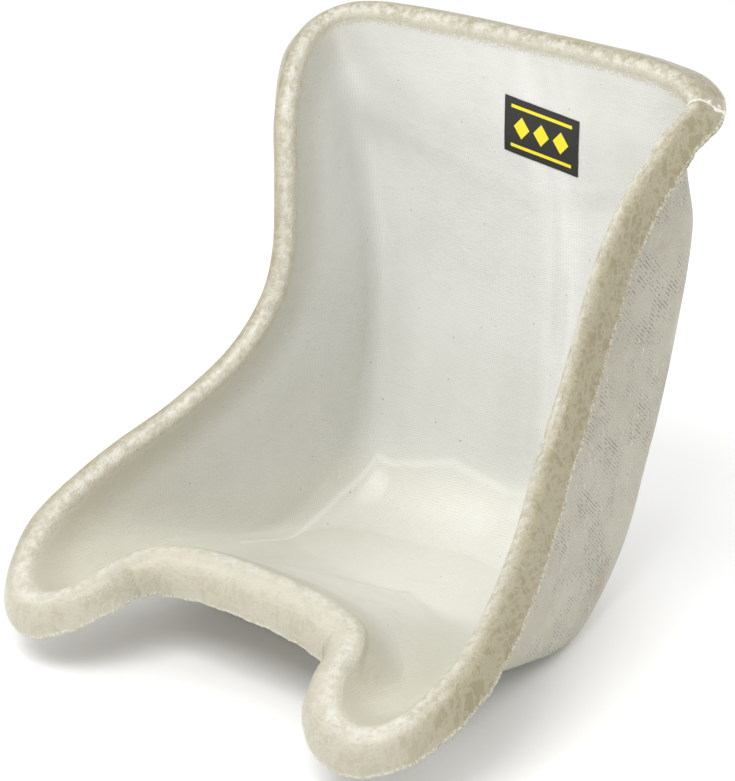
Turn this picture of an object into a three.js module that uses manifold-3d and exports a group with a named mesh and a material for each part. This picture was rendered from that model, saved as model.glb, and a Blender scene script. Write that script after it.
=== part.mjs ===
// A kart racing seat: one glass-fibre bucket, laid up by hand from separate plies over a mould,
// with a rolled rim all round and two horns beside the cut-out in front.
// Millimetres. +X is the driver's left, +Y points to the back, +Z is up. Z = 0 is the underside of
// the floor pan, and the seat is symmetric about X = 0, apart from its label.
import * as THREE from "three";
import { mergeVertices } from "three/addons/utils/BufferGeometryUtils.js";
import Module from "manifold-3d";

// ---- Driving dimensions ----
const HIP_WIDTH = 300; // inside, where the seat is narrowest
const SHOULDER_WIDTH = 370; // inside, at the top corners
const THIGH_WIDTH = 412; // inside, where the thigh wings are widest
const CUTOUT_WIDTH = 258; // between the starts of the two horns' rolls
const BACK_WIDTH = 332; // back panel, corner to corner at the waist
const PAN_WIDTH = 316; // floor pan, corner to corner

const BACK_HEIGHT = 476; // floor underside to the start of the top roll
const WAIST_HEIGHT = 278; // to the rim where the seat is narrowest
const THIGH_HEIGHT = 104; // to the rim where the thigh wings are widest
const LIP_HEIGHT = 103; // to the start of the front roll, in the middle
const HORN_HEIGHT = 64; // to the start of the roll at the horn tips

const BACK_REACH = 135; // origin to the deepest place of the back panel
const LIP_REACH = 215; // origin to the start of the front roll, in the middle
const HORN_REACH = 306; // origin to the start of the roll at the horn tips

const INNER_PLY = 1.2; // woven cloth that lay on the mould
const MAT_PLY = 1.2; // chopped-strand mats between the two cloths
const OUTER_PLY = 1.2; // woven cloth on the outside
const JOINT = 0.3; // clearance between neighbouring pieces

const PAN_FRONT = 25; // origin to where the floor starts to rise
const LIP_SLOPE = 0.56; // rise of the floor towards the lip, in the middle
const HORN_SLOPE = 0.25; // and towards the horns
const PAN_SOFTNESS = 22; // how gently both start
const RAMP_HALF_WIDTH = 65; // the middle ramp's level half
const HORN_MIDDLE = 165; // the seat's middle to the horn's

const SIDE_ROLL = 11; // radius of the rolled rim on the back and the sides
const FRONT_ROLL = 22; // radius of the rolled rim on the horns and the front lip
const SIDE_SKIRT = 17; // straight flange after the roll
const FRONT_SKIRT = 12;

const LABEL_WIDTH = 76;
const LABEL_HEIGHT = 54;
const LABEL_THICKNESS = 0.4;
const LABEL_SIDE = 26; // middle of the label, to the driver's left of the seat's middle
const LABEL_DROP = 83; // middle of the label, below the start of the top roll
const LABEL_TILT = 8; // degrees, its top leaning to the driver's left

// ---- Guide lines ----
// Each station is one rib of the right half, from the middle of the seat out to the rim. The rib
// leaves the spine level, turns at the corner and ends at the rim, where the roll starts.
const hip = HIP_WIDTH / 2;
const shoulder = SHOULDER_WIDTH / 2;
const thigh = THIGH_WIDTH / 2;
const horn = CUTOUT_WIDTH / 2;
const back = BACK_WIDTH / 2;
const pan = PAN_WIDTH / 2;
const top = BACK_HEIGHT;
const wing = thigh - horn; // a horn's width, from the cut-out to the thigh wing
const flare = thigh - pan; // how far a thigh wing leans out
const tip = HORN_REACH - LIP_REACH; // how far a horn stands out in front of the lip
const mat = INNER_PLY + JOINT; // depth of the mats' near face under the mould's surface
const outer = mat + MAT_PLY + JOINT; // depth of the outer cloth's near face
const laminate = outer + OUTER_PLY;
const floor = laminate - 8; // the guide lines dip this far under the flat pan

// rim x y z, corner x y z, spine y z, corner rounding, turn of the roll, share of the front roll
const STATIONS = [
  [[0, BACK_REACH - 36, top - 4], [0, 108, top - 46], [116, top - 91], 40, 120, 0],
  [[90, BACK_REACH - 36, top - 5], [72, 110, top - 51], [118, top - 100], 45, 120, 0],
  [[shoulder - 33, 97, top - 8], [130, 112, top - 61], [121, top - 112], 55, 120, 0],
  [[shoulder, 89, top - 19], [back, 117, top - 78], [124, top - 126], 58, 118, 0],
  [[shoulder - 1, 57, top - 38], [back + 12, 122, top - 98], [127, top - 144], 50, 130, 0],
  [[hip + 22, 27, top - 82], [back + 16, 129, top - 126], [131, top - 168], 38, 148, 0],
  [[hip + 9, 11, WAIST_HEIGHT + 64], [back + 9, 131, top - 176], [134, top - 200], 28, 155, 0],
  [[hip, -4, WAIST_HEIGHT], [back, 130, 245], [BACK_REACH, 232], 24, 155, 0],
  [[hip, -26, WAIST_HEIGHT - 46], [back - 7, 123, 185], [132, 180], 22, 155, 0],
  [[hip + 9, -66, WAIST_HEIGHT - 89], [pan - 5, 111, 125], [127, 120], 24, 155, 0],
  [[hip + 29, -120, THIGH_HEIGHT + 48], [pan - 9, 94, 60], [116, 56], 34, 152, 0],
  [[thigh - 9, -0.575 * HORN_REACH, THIGH_HEIGHT + 21], [pan - 8, 60, 17], [84, 15], 45, 148, 0.1],
  [[thigh, -0.719 * HORN_REACH, THIGH_HEIGHT], [pan, 8, floor + 4], [35, floor], 45, 140, 0.2],
  [[thigh, -0.817 * HORN_REACH, THIGH_HEIGHT - 14],
    [pan + 0.08 * flare, -45, 8], [5, floor], 50, 130, 0.4],
  [[thigh - 6, 0.32 * tip - HORN_REACH, HORN_HEIGHT + 13],
    [horn + 0.47 * wing, 105 - LIP_REACH, 26], [-20, floor], 55, 118, 0.45],
  [[thigh - 0.25 * wing, 0.09 * tip - HORN_REACH, HORN_HEIGHT + 3],
    [horn + 0.48 * wing, 50 - LIP_REACH, 41], [-36, 9], 55, 108, 0.6],
  [[horn + 0.51 * wing, -HORN_REACH, HORN_HEIGHT],
    [horn + 0.455 * wing, 10 - LIP_REACH, 50], [-47, 14], 50, 102, 0.8],
  [[horn + 0.27 * wing, 0.08 * tip - HORN_REACH, HORN_HEIGHT + 5],
    [horn + 0.415 * wing, -9 - LIP_REACH, 55], [-52, 16.5], 45, 105, 0.6],
  [[horn + 0.1 * wing, 0.27 * tip - HORN_REACH, HORN_HEIGHT + 13],
    [horn + 0.365 * wing, -14 - LIP_REACH, 60], [-55, 18], 40, 118, 0.5],
  [[horn, -0.42 * tip - LIP_REACH, LIP_HEIGHT - 18],
    [horn + 0.22 * wing, -5 - LIP_REACH, 67], [-57, 19], 40, 126, 0.55],
  [[horn - 18, -0.13 * tip - LIP_REACH, LIP_HEIGHT - 11],
    [horn - 12, 16 - LIP_REACH, 73], [-60, 20.5], 40, 126, 0.85],
  [[horn - 53, -1 - LIP_REACH, LIP_HEIGHT - 5],
    [horn - 51, 37 - LIP_REACH, 73], [-70, 25.5], 40, 121, 1],
  [[horn - 91, -LIP_REACH, LIP_HEIGHT - 1], [horn - 93, 47 - LIP_REACH, 74], [-88, 35], 40, 119, 1],
  [[0, -LIP_REACH, LIP_HEIGHT], [0, 50 - LIP_REACH, 75], [-106, 44.5], 40, 119, 1],
];

// The whole loop: the right half from the top to the lip, and the left half back up.
const loop = STATIONS.concat(STATIONS.slice(1, -1).reverse().map(([rim, corner, ...rest]) => [
  [-rim[0], rim[1], rim[2]],
  [-corner[0], corner[1], corner[2]],
  ...rest,
]));

function closedCurve(points) {
  return new THREE.CatmullRomCurve3(points, true, "catmullrom", 0.5);
}

const rimLine = closedCurve(loop.map(([rim]) => new THREE.Vector3(...rim)));
const cornerLine = closedCurve(loop.map(([, corner]) => new THREE.Vector3(...corner)));
const spineLine = closedCurve(loop.map(([, , spine]) => new THREE.Vector3(0, ...spine)));
const shapeLine = closedCurve(loop.map(([, , , ...shape]) => new THREE.Vector3(...shape)));

// ---- Surfaces ----
const PLACES = 2 * loop.length; // columns round the seat; place 0 is the top's middle
const LIP = PLACES / 2; // the place of the lip's middle
const LEVEL = 2; // rows of a rib: along its level start, round its corner, and up to the rim
const ROUND = 4;
const RISE = 2;
const ROWS = LEVEL + ROUND + RISE;
const STEP = 1e-3; // of a place or a row, to find directions with
const TOP_CORNER = 6; // places where the rim's and the walls' pieces meet
const THIGH_FRONT = 28;
const CUTOUT_CORNER = 38;

// The floor in front of the flat pan: a ramp up to the lip between two flatter ones to the horns.
function floorHeight(point) {
  const ahead = Math.max(-point.y - PAN_FRONT, 0);
  const rise = Math.hypot(ahead, PAN_SOFTNESS) - PAN_SOFTNESS;
  const aside = THREE.MathUtils.smoothstep(point.x, RAMP_HALF_WIDTH, HORN_MIDDLE);
  return laminate + rise * THREE.MathUtils.lerp(LIP_SLOPE, HORN_SLOPE, aside);
}

// The mould's surface at a place round the seat and a row out from the spine, on the right half.
function mouldPoint(place, row) {
  const at = place / PLACES;
  const spine = spineLine.getPoint(at);
  const corner = cornerLine.getPoint(at);
  const rim = rimLine.getPoint(at);
  const rounding = shapeLine.getPoint(at).x;
  const inward = spine.clone().sub(corner);
  const upward = rim.clone().sub(corner);
  const bendStart = inward.clone().setLength(Math.min(rounding, 0.9 * inward.length())).add(corner);
  const bendEnd = upward.clone().setLength(Math.min(rounding, 0.9 * upward.length())).add(corner);
  let point;
  if (row < LEVEL) {
    point = spine.lerp(bendStart, row / LEVEL);
  } else if (row > LEVEL + ROUND) {
    point = bendEnd.lerp(rim, (row - LEVEL - ROUND) / RISE);
  } else {
    point = new THREE.QuadraticBezierCurve3(bendStart, corner, bendEnd).getPoint((row - LEVEL) / ROUND);
  }
  const ramp = THREE.MathUtils.smoothstep(place, THIGH_FRONT - 3, THIGH_FRONT + 3);
  const near = THREE.MathUtils.smoothstep(row, LEVEL, ROWS);
  const height = floorHeight(point) + near * (rim.z - floorHeight(rim));
  point.z = Math.max(THREE.MathUtils.lerp(point.z, height, ramp), laminate);
  return point;
}

// A point of the shell, at a depth under the mould's surface. Left places mirror right ones.
function shellPoint(place, row, depth) {
  const wrapped = THREE.MathUtils.euclideanModulo(place, PLACES);
  const right = Math.min(wrapped, PLACES - wrapped);
  const back = Math.max(row - STEP, 0);
  const ahead = Math.min(row + STEP, ROWS);
  const along = mouldPoint(right + STEP, row).sub(mouldPoint(right - STEP, row));
  const across = mouldPoint(right, ahead).sub(mouldPoint(right, back));
  if (right === 0 || right === LIP) {
    along.set(right === 0 ? 1 : -1, 0, 0);
  }
  const normal = along.cross(across);
  if (row === 0) {
    normal.x = 0;
  }
  const point = mouldPoint(right, row).addScaledVector(normal.normalize(), -depth);
  point.x *= wrapped > LIP ? -1 : 1;
  return point;
}

const BEND = 4; // rows of the rim: round its roll, then down its skirt
const RIM_ROWS = BEND + 1;

// A point of the rolled rim, where row 0 is the shell's edge.
function rimPoint(place, row, depth) {
  const wrapped = THREE.MathUtils.euclideanModulo(place, PLACES);
  const right = Math.min(wrapped, PLACES - wrapped);
  const shape = shapeLine.getPoint(right / PLACES);
  const radius = THREE.MathUtils.lerp(SIDE_ROLL, FRONT_ROLL, shape.z);
  const skirt = THREE.MathUtils.lerp(SIDE_SKIRT, FRONT_SKIRT, shape.z);
  const edge = mouldPoint(right, ROWS);
  const along = mouldPoint(right + STEP, ROWS).sub(mouldPoint(right - STEP, ROWS)).normalize();
  const across = edge.clone().sub(mouldPoint(right, ROWS - STEP));
  across.addScaledVector(along, -across.dot(along)).normalize();
  const normal = along.clone().cross(across);
  const start = JOINT / (radius - laminate);
  const end = THREE.MathUtils.degToRad(shape.y);
  const angle = THREE.MathUtils.lerp(start, end, Math.min(row / BEND, 1));
  const outward = across.clone().multiplyScalar(Math.sin(angle));
  outward.addScaledVector(normal, Math.cos(angle));
  const onward = across.clone().multiplyScalar(Math.cos(angle));
  onward.addScaledVector(normal, -Math.sin(angle));
  const point = edge.addScaledVector(normal, -radius).addScaledVector(outward, radius - depth);
  point.addScaledVector(onward, skirt * Math.max(row - BEND, 0));
  point.x *= wrapped > LIP ? -1 : 1;
  return point;
}

// ---- Pieces ----

// Rows of a section: out on the near face and back on the far one. A closed section also has its
// own inner edge; an open one meets its mirror image on the spine.
function section(first, last, near, far, closed) {
  const rows = [first];
  for (let row = Math.floor(first) + 1; row < last; row += 1) {
    rows.push(row);
  }
  rows.push(last);
  const face = (depth) => rows.map((row) => [row, depth]);
  const round = face(near).concat(face(far).reverse());
  return closed ? round.concat([[first, near]]) : round;
}

// Sweeps a section from one place to another. A piece that doesn't go all the way round gets flat
// ends, each made by a slice whose far face lies on its near one. Each four-sided cell is cut along
// its shorter diagonal, found on the mould's surface, so that stacked plies are cut alike.
function sweep(surface, rows, first, last) {
  const slices = [[first, false]];
  for (let place = Math.floor(first) + 1; place < last; place += 1) {
    slices.push([place, false]);
  }
  slices.push([last, false]);
  if (last - first < PLACES) {
    slices.unshift([first, true]);
    slices.push([last, true]);
  }
  const points = [];
  const gauge = [];
  for (const [place, flat] of slices) {
    for (const [row, depth] of rows) {
      points.push(surface(place, row, flat ? rows[0][1] : depth));
      gauge.push(surface(Math.round(place), Math.round(row), 0));
    }
  }
  const index = [];
  for (let slice = 0; slice < slices.length - 1; slice += 1) {
    for (let row = 0; row < rows.length - 1; row += 1) {
      const a = slice * rows.length + row;
      const b = a + rows.length;
      const c = b + 1;
      const d = a + 1;
      if (gauge[a].distanceTo(gauge[c]) < gauge[b].distanceTo(gauge[d])) {
        index.push(a, b, c, a, c, d);
      } else {
        index.push(a, b, d, b, c, d);
      }
    }
  }
  return closedGeometry(points, index);
}

// Welds the points that coincide and leaves out the triangles that this flattens.
function closedGeometry(points, index) {
  const geometry = new THREE.BufferGeometry().setFromPoints(points).setIndex(index);
  const merged = mergeVertices(geometry, 1e-3);
  const kept = [];
  for (let i = 0; i < merged.index.count; i += 3) {
    const [a, b, c] = merged.index.array.subarray(i, i + 3);
    if (a !== b && b !== c && c !== a) {
      kept.push(a, b, c);
    }
  }
  return merged.setIndex(kept);
}

const seat = new THREE.Group();
seat.name = "kart_seat";

function add(name, geometry, color, roughness) {
  const material = new THREE.MeshStandardMaterial({ color, roughness });
  const mesh = new THREE.Mesh(geometry, material);
  mesh.name = name;
  seat.add(mesh);
}

const CLOTH = 0x9ea6a2;
const MAT = 0xb9b79a;
const RESIN = 0xb7a983;
const LABEL = 0x1d1f1e;
const SPLIT = 0.025; // clearance of neighbouring mats and bands, in places or rows

add("inner_cloth", sweep(shellPoint, section(0, ROWS, 0, INNER_PLY, false), 0, PLACES), CLOTH, 0.3);

const PAN_BACK = 20; // the place where the back panel turns into the floor pan
const MIDDLE = LEVEL + ROUND / 2; // the row along the middle of the corners

// One ply of panels and walls, between two depths.
function addPly(suffix, near, far, color) {
  const panel = section(0, MIDDLE - SPLIT, near, far, false);
  const wall = section(MIDDLE + SPLIT, ROWS, near, far, true);
  const zones = [
    ["back", panel, -PAN_BACK, PAN_BACK],
    ["floor", panel, PAN_BACK, PLACES - PAN_BACK],
    ["shoulder", wall, -TOP_CORNER, TOP_CORNER],
    ["left_wall", wall, TOP_CORNER, CUTOUT_CORNER],
    ["lip", wall, CUTOUT_CORNER, PLACES - CUTOUT_CORNER],
    ["right_wall", wall, PLACES - CUTOUT_CORNER, PLACES - TOP_CORNER],
  ];
  for (const [zone, rows, first, last] of zones) {
    add(zone + suffix, sweep(shellPoint, rows, first + SPLIT, last - SPLIT), color, 0.6);
  }
}

addPly("_mat", mat, mat + MAT_PLY, MAT);
addPly("_outer_cloth", outer, laminate, CLOTH);

const band = section(0, RIM_ROWS, 0, laminate, true);
const bands = [
  ["top_rim", -TOP_CORNER, TOP_CORNER],
  ["left_rim", TOP_CORNER, THIGH_FRONT],
  ["left_horn_rim", THIGH_FRONT, CUTOUT_CORNER],
  ["lip_rim", CUTOUT_CORNER, PLACES - CUTOUT_CORNER],
  ["right_horn_rim", PLACES - CUTOUT_CORNER, PLACES - THIGH_FRONT],
  ["right_rim", PLACES - THIGH_FRONT, PLACES - TOP_CORNER],
];
for (const [name, first, last] of bands) {
  add(name, sweep(rimPoint, band, first + SPLIT, last - SPLIT), RESIN, 0.5);
}

// The label is a film over the upper back, cut out by its outline.
const wasm = await Module();
wasm.setup();

function solid(geometry) {
  const vertProperties = geometry.getAttribute("position").array;
  const triVerts = new Uint32Array(geometry.index.array);
  return new wasm.Manifold(new wasm.Mesh({ numProp: 3, vertProperties, triVerts }));
}

const film = sweep(shellPoint, section(0, ROWS, -JOINT - LABEL_THICKNESS, -JOINT, false), -12, 12);
const outline = new THREE.BoxGeometry(LABEL_WIDTH, 80, LABEL_HEIGHT);
outline.rotateY(THREE.MathUtils.degToRad(LABEL_TILT));
outline.translate(LABEL_SIDE, BACK_REACH - 20, top - LABEL_DROP);
outline.deleteAttribute("normal");
outline.deleteAttribute("uv");
const label = solid(film).intersect(solid(mergeVertices(outline))).getMesh();
const labelGeometry = new THREE.BufferGeometry();
labelGeometry.setAttribute("position", new THREE.BufferAttribute(label.vertProperties, 3));
labelGeometry.setIndex(new THREE.BufferAttribute(label.triVerts, 1));
add("label", labelGeometry, LABEL, 0.4);

export default seat;
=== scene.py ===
import math

import bpy
import numpy as np
from bpy.props import FloatProperty, FloatVectorProperty, IntProperty, PointerProperty
from mathutils import Matrix, Vector


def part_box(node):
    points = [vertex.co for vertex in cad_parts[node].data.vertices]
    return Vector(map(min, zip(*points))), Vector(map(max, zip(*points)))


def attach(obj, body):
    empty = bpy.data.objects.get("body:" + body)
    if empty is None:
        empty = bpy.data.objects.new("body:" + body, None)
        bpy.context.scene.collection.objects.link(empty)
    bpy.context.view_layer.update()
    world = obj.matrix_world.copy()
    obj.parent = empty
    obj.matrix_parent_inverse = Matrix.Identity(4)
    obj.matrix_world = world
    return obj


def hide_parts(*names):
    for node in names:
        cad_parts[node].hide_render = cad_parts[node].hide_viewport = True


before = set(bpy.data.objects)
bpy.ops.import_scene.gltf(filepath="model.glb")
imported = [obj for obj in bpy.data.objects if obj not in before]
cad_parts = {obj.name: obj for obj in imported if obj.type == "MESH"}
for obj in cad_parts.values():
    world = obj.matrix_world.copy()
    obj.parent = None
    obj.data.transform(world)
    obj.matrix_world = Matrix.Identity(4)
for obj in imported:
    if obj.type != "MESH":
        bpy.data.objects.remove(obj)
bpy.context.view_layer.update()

bl_info = {
    "name": "Kart racing seat",
    "version": (1, 0, 0),
    "blender": (4, 5, 0),
    "location": "View3D > Sidebar > Kart seat",
    "description": "A hand-laid glass-fibre kart seat with a rolled rim, and the studio it stands in",
    "category": "Add Mesh",
}

MM = 0.001
SHARP = math.radians(60)
MOST_STRAY = 0.01
MOST_MISFIT = 0.35
ARC_ROWS, SKIRT_ROWS, TIP_STEPS = 15, 7, 6
PANELS = ["back", "floor", "shoulder", "left_wall", "lip", "right_wall"]

# ---- Guide lines ----
# Millimetres, following the model's ribs to within half a millimetre. Each station is one rib of
# the half with positive x, from the middle of the seat out to the rim: rim x y z, corner x y z,
# spine y z, corner rounding, turn of the roll in degrees, share of the front roll.
HIP = 150
SHOULDER = 185
THIGH = 206
HORN = 129
BACK = 166
PAN = 158
TOP = 476
INNER_PLY = (0.0, 1.2)
MAT_PLY = (1.5, 2.7)
OUTER_PLY = (3.0, 4.2)
LAMINATE = OUTER_PLY[1]
FLOOR = LAMINATE - 8
STATIONS = np.array([
    [0, 99, TOP - 4, 0, 108, TOP - 46, 116, TOP - 91, 40, 120, 0],
    [90, 99, TOP - 5, 72, 110, TOP - 51, 118, TOP - 100, 45, 120, 0],
    [SHOULDER - 33, 97, TOP - 8, 130, 112, TOP - 61, 121, TOP - 112, 55, 120, 0],
    [SHOULDER, 89, TOP - 19, BACK, 117, TOP - 78, 124, TOP - 126, 58, 118, 0],
    [SHOULDER - 1, 57, TOP - 38, BACK + 12, 122, TOP - 98, 127, TOP - 144, 50, 130, 0],
    [HIP + 22, 27, TOP - 82, BACK + 16, 129, TOP - 126, 131, TOP - 168, 38, 148, 0],
    [HIP + 9, 11, 342, BACK + 9, 131, TOP - 176, 134, TOP - 200, 28, 155, 0],
    [HIP, -4, 278, BACK, 130, 245, 135, 232, 24, 155, 0],
    [HIP, -26, 232, BACK - 7, 123, 185, 132, 180, 22, 155, 0],
    [HIP + 9, -66, 189, PAN - 5, 111, 125, 127, 120, 24, 155, 0],
    [HIP + 29, -120, 152, PAN - 9, 94, 60, 116, 56, 34, 152, 0],
    [THIGH - 9, -176, 125, PAN - 8, 60, 17, 84, 15, 45, 148, 0.1],
    [THIGH, -220, 104, PAN, 8, FLOOR + 4, 35, FLOOR, 45, 140, 0.2],
    [THIGH, -250, 90, PAN + 4, -45, 8, 5, FLOOR, 50, 130, 0.4],
    [THIGH - 6, -277, 77, PAN + 7, -110, 26, -20, FLOOR, 55, 118, 0.45],
    [THIGH - 19, -298, 67, PAN + 8, -165, 41, -36, 9, 55, 108, 0.6],
    [HORN + 39, -306, 64, PAN + 6, -205, 50, -47, 14, 50, 102, 0.8],
    [HORN + 21, -299, 69, PAN + 3, -224, 55, -52, 16.5, 45, 105, 0.6],
    [HORN + 8, -281, 77, PAN - 1, -229, 60, -55, 18, 40, 118, 0.5],
    [HORN, -253, 85, PAN - 12, -220, 67, -57, 19, 40, 126, 0.55],
    [HORN - 18, -227, 92, PAN - 41, -199, 73, -60, 20.5, 40, 126, 0.85],
    [HORN - 53, -216, 98, PAN - 80, -178, 73, -70, 25.5, 40, 121, 1],
    [HORN - 91, -215, 102, PAN - 122, -168, 74, -88, 35, 40, 119, 1],
    [0, -215, 103, 0, -165, 75, -106, 44.5, 40, 119, 1],
], dtype=float)
MIRROR = np.array([-1, 1, 1, -1, 1, 1, 1, 1, 1, 1, 1], dtype=float)
LOOP = np.vstack([STATIONS, STATIONS[-2:0:-1] * MIRROR])
PLACES = 2 * len(LOOP)
LIP = PLACES / 2
LEVEL, ROUND, RISE = 2, 4, 2
ROWS = LEVEL + ROUND + RISE
BEND = 4
RIM_ROWS = BEND + 1
TOP_CORNER, THIGH_FRONT, CUTOUT_CORNER = 6, 28, 38
PAN_FRONT, LIP_SLOPE, HORN_SLOPE, PAN_SOFTNESS = 25, 0.56, 0.25, 22
RAMP_HALF_WIDTH, HORN_MIDDLE = 65, 165
SIDE_ROLL, FRONT_ROLL, SIDE_SKIRT, FRONT_SKIRT = 11, 22, 17, 12
STEP = 1e-2
LABEL_SIDE = 26
LABEL_UP = TOP - 83
LABEL_THICKNESS = 0.4
LABEL_LIFT = 0.3
CREASE = np.array([
    [0, 113], [60, 109], [133, 90], [145, 50], [150, 13], [150, -15], [157, -45], [161, -70],
], dtype=float)


def smooth(x, low, high):
    """Smoothstep: 3t^2 - 2t^3 of t, the share of x between low and high, held to 0..1."""
    t = np.clip((x - low) / (high - low), 0, 1)
    return t * t * (3 - 2 * t)


def length(v):
    """The length of each vector."""
    return np.linalg.norm(v, axis=-1, keepdims=True)


def unit(v):
    """v divided by its length."""
    return v / np.maximum(length(v), 1e-12)


def guides(place):
    """All guide values at places round the seat: a closed uniform Catmull-Rom curve through the ribs."""
    at = np.mod(place, PLACES) / 2
    i = np.floor(at).astype(int)
    t = (at - i)[..., None]
    n = len(LOOP)
    a, b, c, d = (LOOP[(i + k) % n] for k in (-1, 0, 1, 2))
    square = 2 * a - 5 * b + 4 * c - d
    cube = 3 * b - a - 3 * c + d
    return 0.5 * (2 * b + (c - a) * t + square * t**2 + cube * t**3)


def floor_height(p):
    """The floor in front of the flat pan: a hyperbola that rises at one slope in the middle and at a
    gentler one towards the horns."""
    ahead = np.maximum(-p[..., 1] - PAN_FRONT, 0)
    rise = np.hypot(ahead, PAN_SOFTNESS) - PAN_SOFTNESS
    aside = smooth(p[..., 0], RAMP_HALF_WIDTH, HORN_MIDDLE)
    return LAMINATE + rise * (LIP_SLOPE + (HORN_SLOPE - LIP_SLOPE) * aside)


def mould_point(place, row):
    """The mould's surface on the half with positive x. A rib is a straight line from the spine, a quadratic
    Bezier round its corner and a straight line up to the rim."""
    place, row = np.broadcast_arrays(np.asarray(place, float), np.asarray(row, float))
    g = guides(place)
    rim, corner = g[..., 0:3], g[..., 3:6]
    spine = np.concatenate([0 * g[..., :1], g[..., 6:8]], axis=-1)
    rounding = g[..., 8:9]
    inward, upward = spine - corner, rim - corner
    start = corner + unit(inward) * np.minimum(rounding, 0.9 * length(inward))
    end = corner + unit(upward) * np.minimum(rounding, 0.9 * length(upward))
    r = row[..., None]
    a = np.clip(r / LEVEL, 0, 1)
    t = np.clip((r - LEVEL) / ROUND, 0, 1)
    b = (r - LEVEL - ROUND) / RISE
    bend = start * (1 - t) ** 2 + corner * 2 * t * (1 - t) + end * t**2
    wall = np.where(r > LEVEL + ROUND, end + (rim - end) * b, bend)
    p = np.where(r < LEVEL, spine + (start - spine) * a, wall)
    ahead = smooth(place, THIGH_FRONT - 3, THIGH_FRONT + 3)
    near = smooth(row, LEVEL, ROWS)
    height = floor_height(p) + near * (rim[..., 2] - floor_height(rim))
    z = np.maximum(p[..., 2] + (height - p[..., 2]) * ahead, LAMINATE)
    return np.concatenate([p[..., :2], z[..., None]], axis=-1)


def halves(place):
    """The mirrored place on the half with positive x, and the sign of x."""
    wrapped = np.mod(place, PLACES)
    return np.minimum(wrapped, PLACES - wrapped), np.where(wrapped > LIP, -1.0, 1.0)


def shell_frame(place, row):
    """Points and normals of the mould's surface, with the places of one half mirrored from the
    other's. The normal is the cross product of the directions round the seat and along the rib."""
    half, sign = halves(place)
    along = mould_point(half + STEP, row) - mould_point(half - STEP, row)
    middle = ((half < 1e-6) | (half > LIP - 1e-6))[..., None]
    sideways = np.where(half[..., None] < 1, 1.0, -1.0) * np.array([1.0, 0, 0])
    along = np.where(middle, sideways, along)
    above, below = np.minimum(row + STEP, ROWS), np.maximum(row - STEP, 0)
    across = mould_point(half, above) - mould_point(half, below)
    normal = np.cross(along, across)
    normal[..., 0] = np.where(row < 1e-6, 0, normal[..., 0])
    p, n = mould_point(half, row), unit(normal)
    p[..., 0] *= sign
    n[..., 0] *= sign
    return p, n


def rim_frame(place, row):
    """Points and normals of the rolled rim: an arc that turns away from the shell, then a straight
    skirt. Row 0 is the shell's edge."""
    half, sign = halves(place)
    g = guides(half)
    share, turn = g[..., 10:11], np.radians(g[..., 9:10])
    radius = SIDE_ROLL + (FRONT_ROLL - SIDE_ROLL) * share
    skirt = SIDE_SKIRT + (FRONT_SKIRT - SIDE_SKIRT) * share
    edge = mould_point(half, ROWS)
    along = unit(mould_point(half + STEP, ROWS) - mould_point(half - STEP, ROWS))
    across = edge - mould_point(half, ROWS - STEP)
    across = unit(across - along * np.sum(across * along, axis=-1, keepdims=True))
    normal = np.cross(along, across)
    r = row[..., None]
    angle = turn * np.clip(r / BEND, 0, 1)
    outward = across * np.sin(angle) + normal * np.cos(angle)
    onward = across * np.cos(angle) - normal * np.sin(angle)
    p = edge - normal * radius + outward * radius + onward * skirt * np.maximum(r - BEND, 0)
    p[..., 0] *= sign
    n = outward.copy()
    n[..., 0] *= sign
    return p, n


# ---- Meshes ----

def waviness(p, height):
    """The laminate's hand-laid unevenness in millimetres: a sum of sines of the place in space."""
    x, y, z = p[..., 0], p[..., 1], p[..., 2]
    long_waves = np.sin(x / 31 + z / 47) * np.sin(y / 37 - z / 53 + 1.3)
    short_waves = np.sin(x / 11.3 + y / 13.1 + 0.7) * np.sin(z / 12.7 - y / 17.9 + 2.1)
    return height * (0.76 * long_waves + 0.24 * short_waves)


def raggedness(place, wander):
    """How far the trimmed free edge strays in millimetres: sines of whole numbers of turns round the
    seat, and one nick beside the left horn."""
    turn = place * 2 * np.pi / PLACES
    waves = 0.5 * np.sin(45 * turn) + 0.3 * np.sin(113 * turn + 1) + 0.2 * np.sin(283 * turn + 2)
    nick = np.exp(-(((np.mod(place, PLACES) - CUTOUT_CORNER - 0.5) / 0.15) ** 2))
    return wander * (waves - 2.5 * nick)


def path_length(p):
    """Length in millimetres along the last grid direction, from its first point."""
    steps = np.linalg.norm(np.diff(p, axis=1), axis=-1)
    return np.concatenate([0 * steps[:, :1], np.cumsum(steps, axis=1)], axis=1)


def crease_distance(p):
    """Distance in plan from the line where the floor meets the back and the walls, in millimetres:
    the shortest of the distances to the line's straight stretches."""
    line = np.vstack([CREASE[:0:-1] * (-1, 1), CREASE])
    a, b = line[:-1], line[1:]
    q = p[..., None, :2]
    t = np.clip(np.sum((q - a) * (b - a), axis=-1) / np.sum((b - a) ** 2, axis=-1), 0, 1)
    return np.linalg.norm(q - a - t[..., None] * (b - a), axis=-1).min(axis=-1)


def grid_cells(n, m, wrap_columns, wrap_rows):
    """The four corners of each cell of an n by m grid, wrapped where it closes on itself."""
    columns, rows = np.arange(n - (not wrap_columns)), np.arange(m - (not wrap_rows))
    i, j = np.meshgrid(columns, rows, indexing="ij")
    corners = [(i, j), (i + 1, j), (i + 1, j + 1), (i, j + 1)]
    return np.stack([((a % n) * m + b % m).reshape(-1) for a, b in corners], axis=1)


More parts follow.
